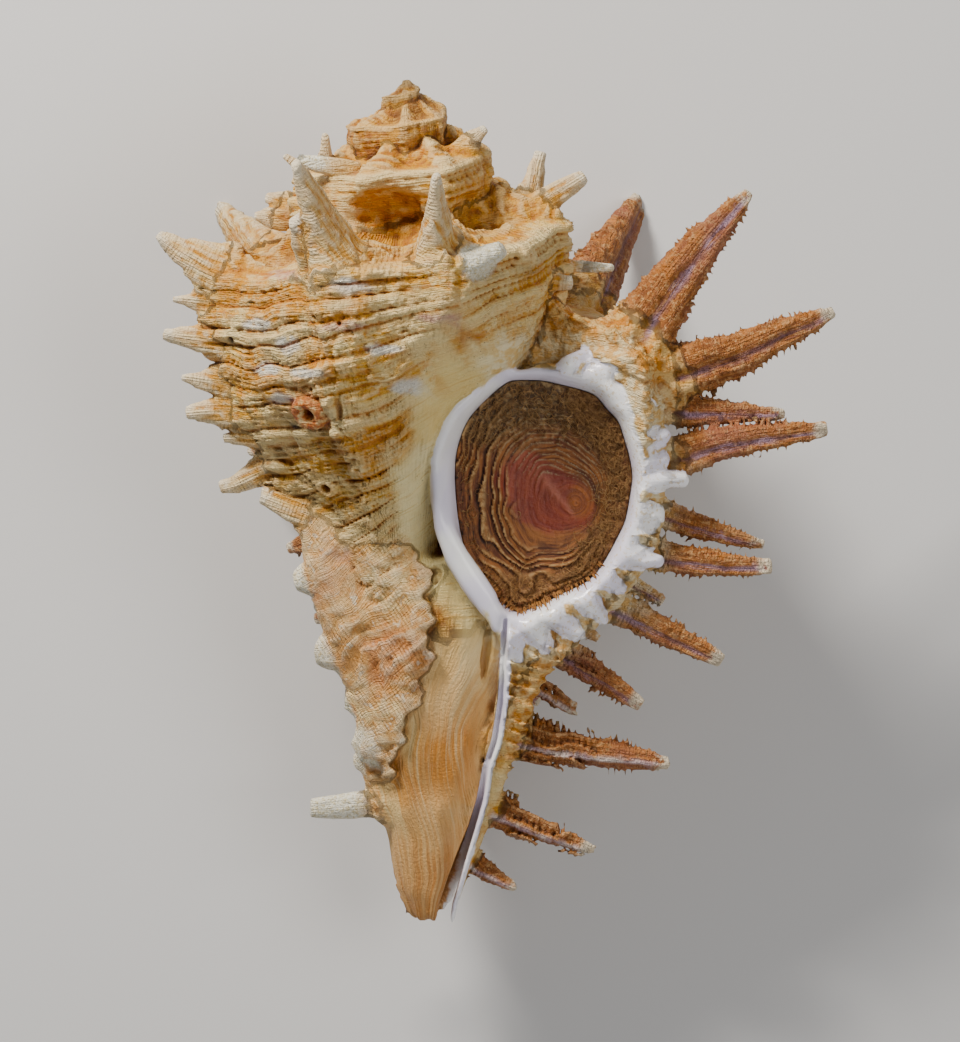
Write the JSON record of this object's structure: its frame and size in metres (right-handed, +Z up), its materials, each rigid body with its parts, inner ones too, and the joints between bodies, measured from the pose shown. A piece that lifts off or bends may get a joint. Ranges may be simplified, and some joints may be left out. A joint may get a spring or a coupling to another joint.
{
  "type": "spiny murex sea shell",
  "caption": "Spiny murex shell lying on its back, aperture up, its horny operculum closing the aperture, with an open canal and rows of trough-shaped spines.",
  "frame": {"origin": "centre of the bounding box in plan, on the surface that the three dorsal spine tips rest on", "axes": "+Z up, away from the resting surface and out of the aperture; +Y toward the apex, -Y toward the tip of the canal; +X toward the outer lip and its longest spines"},
  "size_m": [0.0598, 0.076, 0.0408],
  "materials": {
    "shell": "matt limy shell, cream and tan with white worn crests and red-brown hollows and spines; porcelain white rim",
    "operculum": "horny dark red-brown plate with fine growth lamellae and a satin sheen"
  },
  "bodies": {
    "root": {"shell": "shell", "operculum": "operculum"}
  },
  "joints": []
}
